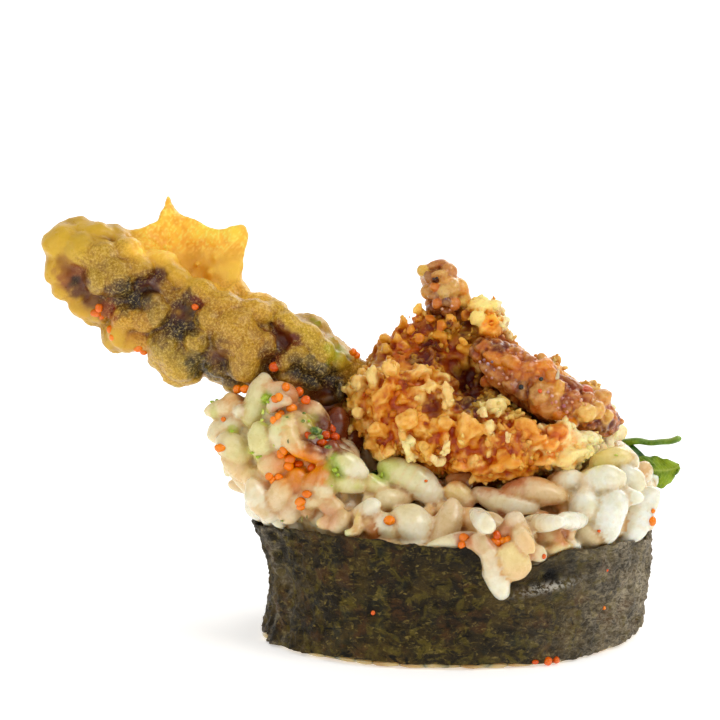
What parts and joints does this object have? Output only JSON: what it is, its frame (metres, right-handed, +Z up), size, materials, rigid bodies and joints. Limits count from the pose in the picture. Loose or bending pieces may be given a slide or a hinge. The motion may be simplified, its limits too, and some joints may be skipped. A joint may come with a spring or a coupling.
{
  "type": "soft shell crab maki",
  "caption": "Thick sushi roll end piece stood on its cut face: nori band, rice bed, mound of fried soft shell crab, long battered leg reaching out to the left and green leaf at the right.",
  "frame": {"origin": "middle of the bounding box in plan, on the flat cut face that it stands on", "axes": "+Z up; -Y is the front; the long leg reaches towards -X and the green leaf towards +X"},
  "size_m": [0.081, 0.05, 0.0548],
  "materials": {
    "nori": "dark olive pressed seaweed sheet, slightly wrinkled and semi-matte",
    "rice": "moist cooked short-grain rice, warm white",
    "fried_crab": "crumbly golden to brown tempura crust over crab",
    "batter": "oily tan and golden batter with dark shell showing through",
    "leg_brown": "glossy amber to brown fried crust",
    "leg_tan": "tan fried leg tip with a pale batter rim",
    "dark_leaf": "dark green moist leaf",
    "leaf": "bright green fresh leaf",
    "stalk": "green stalk with a paler tip"
  },
  "bodies": {
    "root": {"nori_wrap": "nori", "rice_bed": "rice", "crab_body": "fried_crab", "crab_leg_long": "batter", "crab_leg_side": "leg_brown", "crab_leg_tip": "leg_tan", "leaf_liner": "dark_leaf", "leaf_blade": "leaf", "leaf_stalk": "stalk"}
  },
  "joints": []
}
